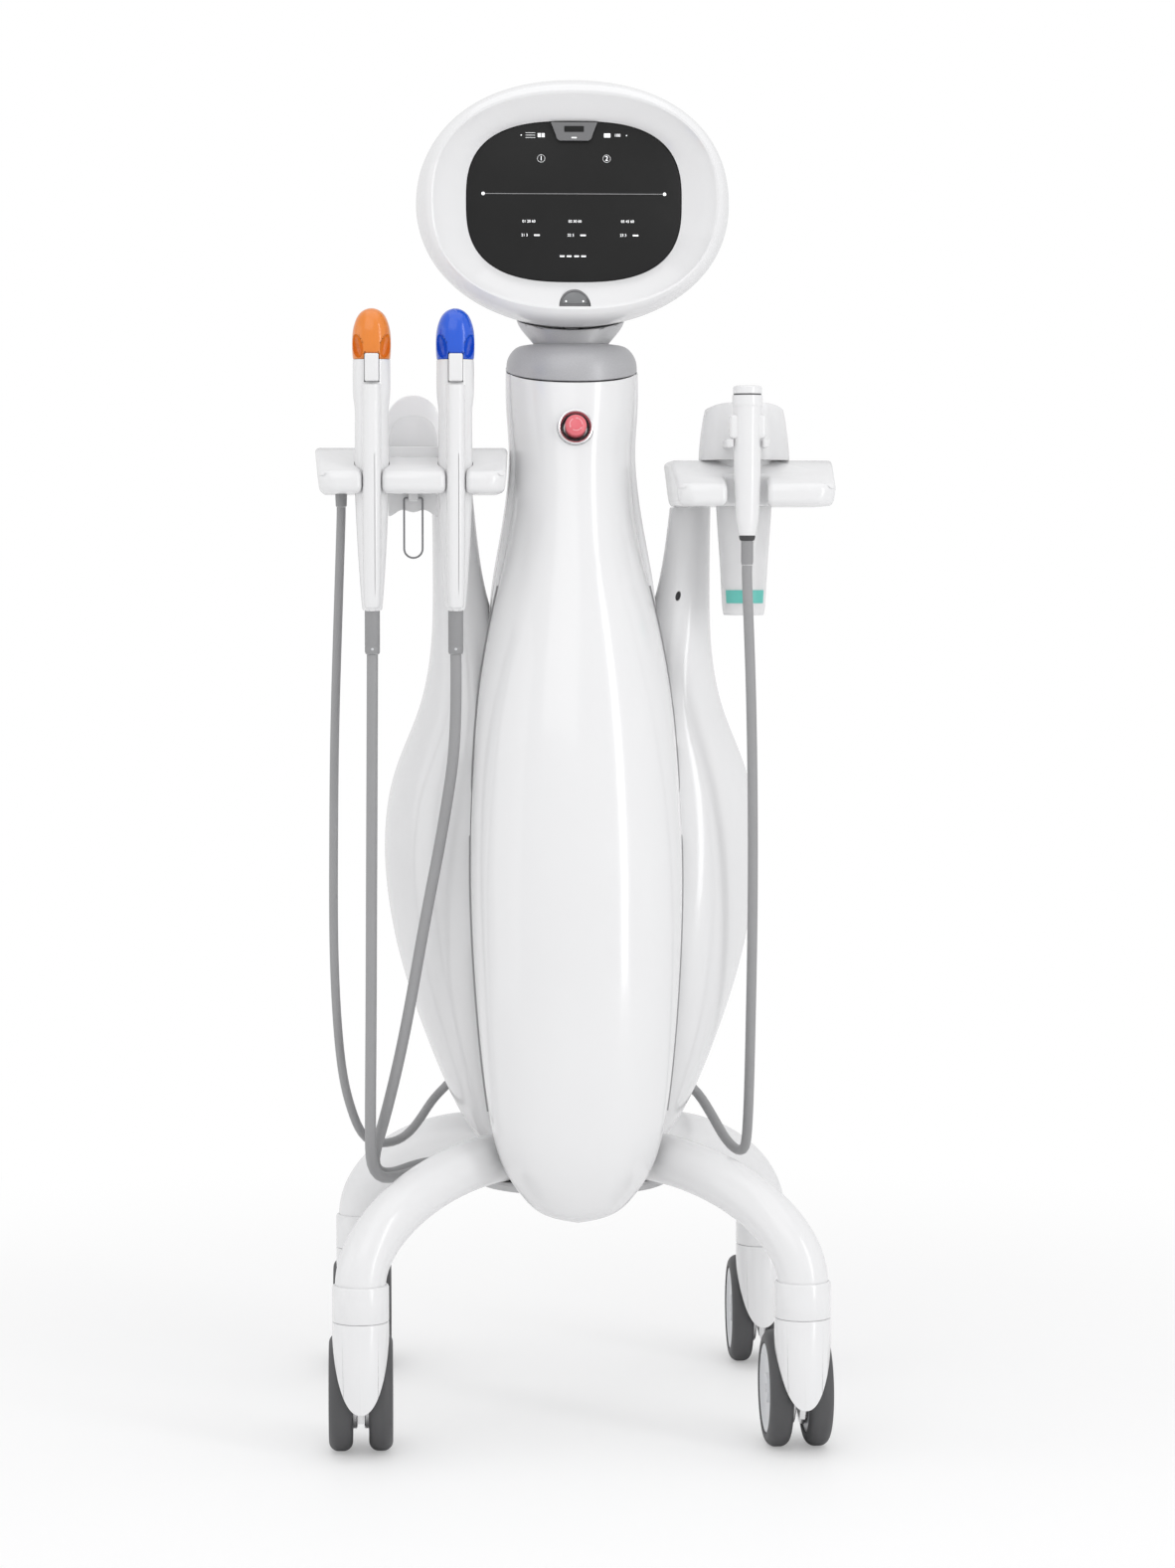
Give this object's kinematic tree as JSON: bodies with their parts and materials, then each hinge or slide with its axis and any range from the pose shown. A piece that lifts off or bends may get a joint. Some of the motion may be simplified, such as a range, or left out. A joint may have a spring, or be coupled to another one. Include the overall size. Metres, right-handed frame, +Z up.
{
  "type": "focused ultrasound machine",
  "caption": "Upright ultrasound treatment machine: egg-shaped body on arched caster legs, tilting oval screen head, side trays holding corded handpieces.",
  "frame": {"origin": "on the floor, under the middle of the machine's outline", "axes": "+Z up; the screen faces -Y; +X towards the tray with the gel holster"},
  "size_m": [0.449, 0.4892, 1.1753],
  "materials": {
    "casing_white": "gloss white moulded plastic",
    "leg_white": "gloss white paint",
    "satin_grey": "satin grey",
    "plate_grey": "dark grey paint",
    "tyre_grey": "grey tyre on a light grey disc",
    "steel": "bright metal",
    "light_metal": "bare aluminium",
    "black_glass": "black screen",
    "clear_grey": "clear greyish plastic",
    "stop_red": "red",
    "orange": "gloss orange",
    "blue": "gloss blue",
    "board_green": "circuit board",
    "cable_grey": "grey cable jacket",
    "black_plastic": "black plastic"
  },
  "bodies": {
    "frame": {"base_plate": "plate_grey", "leg_front_left": "leg_white", "leg_front_right": "leg_white", "leg_rear_left": "leg_white", "leg_rear_right": "leg_white", "front_cover": "casing_white", "rear_cover": "casing_white", "side_cover_left": "casing_white", "side_cover_right": "casing_white", "spine": "steel", "power_supply": "light_metal", "driver_board": "board_green", "fan_frame": "black_plastic", "power_inlet": "black_plastic", "neck_cap": "satin_grey", "stop_collar": "steel", "tray_left": "casing_white", "tray_right": "casing_white", "cup_rest": "casing_white", "gel_dome": "clear_grey", "gel_holster": "clear_grey", "cable_orange": "cable_grey", "cable_blue": "cable_grey", "cable_tray": "cable_grey", "cable_slim": "cable_grey"},
    "fork_front_left": {"caster_fork_front_left": "leg_white", "caster_axle_front_left": "steel"},
    "wheel_front_left_outer": {"caster_wheel_front_left_outer": "tyre_grey"},
    "wheel_front_left_inner": {"caster_wheel_front_left_inner": "tyre_grey"},
    "fork_front_right": {"caster_fork_front_right": "leg_white", "caster_axle_front_right": "steel"},
    "wheel_front_right_outer": {"caster_wheel_front_right_outer": "tyre_grey"},
    "wheel_front_right_inner": {"caster_wheel_front_right_inner": "tyre_grey"},
    "fork_rear_left": {"caster_fork_rear_left": "leg_white", "caster_axle_rear_left": "steel"},
    "wheel_rear_left_outer": {"caster_wheel_rear_left_outer": "tyre_grey"},
    "wheel_rear_left_inner": {"caster_wheel_rear_left_inner": "tyre_grey"},
    "fork_rear_right": {"caster_fork_rear_right": "leg_white", "caster_axle_rear_right": "steel"},
    "wheel_rear_right_outer": {"caster_wheel_rear_right_outer": "tyre_grey"},
    "wheel_rear_right_inner": {"caster_wheel_rear_right_inner": "tyre_grey"},
    "neck": {"neck": "satin_grey", "tilt_pin": "steel"},
    "head": {"head_bezel": "casing_white", "head_rear_cover": "casing_white", "display_module": "black_glass", "camera_module": "clear_grey", "sensor_window": "black_plastic"},
    "stop_button": {"stop_button": "stop_red"},
    "handpiece_orange": {"handpiece_orange": "casing_white"},
    "cartridge_orange": {"cartridge_orange": "orange"},
    "trigger_orange": {"trigger_orange": "casing_white"},
    "handpiece_blue": {"handpiece_blue": "casing_white"},
    "cartridge_blue": {"cartridge_blue": "blue"},
    "trigger_blue": {"trigger_blue": "casing_white"},
    "handpiece_slim": {"handpiece_slim": "casing_white"},
    "slim_tip": {"slim_tip": "casing_white"},
    "wire_bail": {"wire_bail": "steel"},
    "power_switch": {"power_switch": "black_plastic"},
    "fan_rotor": {"fan_rotor": "black_plastic"}
  },
  "joints": [
    {"name": "caster_swivel_front_left", "type": "hinge", "parent": "frame", "child": "fork_front_left", "pos_m": [-0.187, -0.221, 0.119], "axis": [0, 0, 1], "continuous": true},
    {"name": "wheel_spin_front_left_outer", "type": "hinge", "parent": "fork_front_left", "child": "wheel_front_left_outer", "pos_m": [-0.187, -0.179, 0.05], "axis": [1, 0, 0], "continuous": true},
    {"name": "wheel_spin_front_left_inner", "type": "hinge", "parent": "fork_front_left", "child": "wheel_front_left_inner", "pos_m": [-0.187, -0.179, 0.05], "axis": [1, 0, 0], "continuous": true},
    {"name": "caster_swivel_front_right", "type": "hinge", "parent": "frame", "child": "fork_front_right", "pos_m": [0.187, -0.221, 0.119], "axis": [0, 0, 1], "continuous": true},
    {"name": "wheel_spin_front_right_outer", "type": "hinge", "parent": "fork_front_right", "child": "wheel_front_right_outer", "pos_m": [0.18553, -0.17903, 0.05], "axis": [0.9994, 0.0349, 0], "continuous": true},
    {"name": "wheel_spin_front_right_inner", "type": "hinge", "parent": "fork_front_right", "child": "wheel_front_right_inner", "pos_m": [0.18553, -0.17903, 0.05], "axis": [0.9994, 0.0349, 0], "continuous": true},
    {"name": "caster_swivel_rear_left", "type": "hinge", "parent": "frame", "child": "fork_rear_left", "pos_m": [-0.187, 0.153, 0.119], "axis": [0, 0, 1], "continuous": true},
    {"name": "wheel_spin_rear_left_outer", "type": "hinge", "parent": "fork_rear_left", "child": "wheel_rear_left_outer", "pos_m": [-0.187, 0.195, 0.05], "axis": [1, 0, 0], "continuous": true},
    {"name": "wheel_spin_rear_left_inner", "type": "hinge", "parent": "fork_rear_left", "child": "wheel_rear_left_inner", "pos_m": [-0.187, 0.195, 0.05], "axis": [1, 0, 0], "continuous": true},
    {"name": "caster_swivel_rear_right", "type": "hinge", "parent": "frame", "child": "fork_rear_right", "pos_m": [0.187, 0.153, 0.119], "axis": [0, 0, 1], "continuous": true},
    {"name": "wheel_spin_rear_right_outer", "type": "hinge", "parent": "fork_rear_right", "child": "wheel_rear_right_outer", "pos_m": [0.187, 0.195, 0.05], "axis": [1, 0, 0], "continuous": true},
    {"name": "wheel_spin_rear_right_inner", "type": "hinge", "parent": "fork_rear_right", "child": "wheel_rear_right_inner", "pos_m": [0.187, 0.195, 0.05], "axis": [1, 0, 0], "continuous": true},
    {"name": "head_swivel", "type": "hinge", "parent": "frame", "child": "neck", "pos_m": [0, -0.024, 0.9475], "axis": [0, 0, -1], "range_deg": [-45, 45]},
    {"name": "head_tilt", "type": "hinge", "parent": "neck", "child": "head", "pos_m": [0, -0.039, 1.0685], "axis": [-1, 0, 0], "range_deg": [-8, 20]},
    {"name": "stop_press", "type": "slide", "parent": "frame", "child": "stop_button", "axis": [0, 0.9744, -0.225], "range_m": [0, 0.004], "stiffness_N_per_m": 400},
    {"name": "handpiece_lift_orange", "type": "slide", "parent": "frame", "child": "handpiece_orange", "axis": [0, 0, 1], "range_m": [0, 0.165]},
    {"name": "cartridge_pull_orange", "type": "slide", "parent": "handpiece_orange", "child": "cartridge_orange", "axis": [0, 0, 1], "range_m": [0, 0.02]},
    {"name": "trigger_press_orange", "type": "slide", "parent": "handpiece_orange", "child": "trigger_orange", "axis": [0, 1, 0], "range_m": [0, 0.0015], "stiffness_N_per_m": 400},
    {"name": "handpiece_lift_blue", "type": "slide", "parent": "frame", "child": "handpiece_blue", "axis": [0, 0, 1], "range_m": [0, 0.165]},
    {"name": "cartridge_pull_blue", "type": "slide", "parent": "handpiece_blue", "child": "cartridge_blue", "axis": [0, 0, 1], "range_m": [0, 0.02]},
    {"name": "trigger_press_blue", "type": "slide", "parent": "handpiece_blue", "child": "trigger_blue", "axis": [0, 1, 0], "range_m": [0, 0.0015], "stiffness_N_per_m": 400},
    {"name": "handpiece_lift_slim", "type": "slide", "parent": "frame", "child": "handpiece_slim", "axis": [0, 0, 1], "range_m": [0, 0.15]},
    {"name": "slim_tip_pull", "type": "slide", "parent": "handpiece_slim", "child": "slim_tip", "axis": [0, 0, 1], "range_m": [0, 0.015]},
    {"name": "bail_swing", "type": "hinge", "parent": "frame", "child": "wire_bail", "pos_m": [-0.13975, -0.083, 0.8125], "axis": [-1, 0, 0], "range_deg": [-5, 80]},
    {"name": "power_switch_rock", "type": "hinge", "parent": "frame", "child": "power_switch", "pos_m": [0, 0.0508, 0.32325], "axis": [1, 0, 0], "range_deg": [-9, 9]},
    {"name": "fan_spin", "type": "hinge", "parent": "frame", "child": "fan_rotor", "pos_m": [0, 0.01245, 0.452], "axis": [0, 1, 0], "continuous": true}
  ]
}
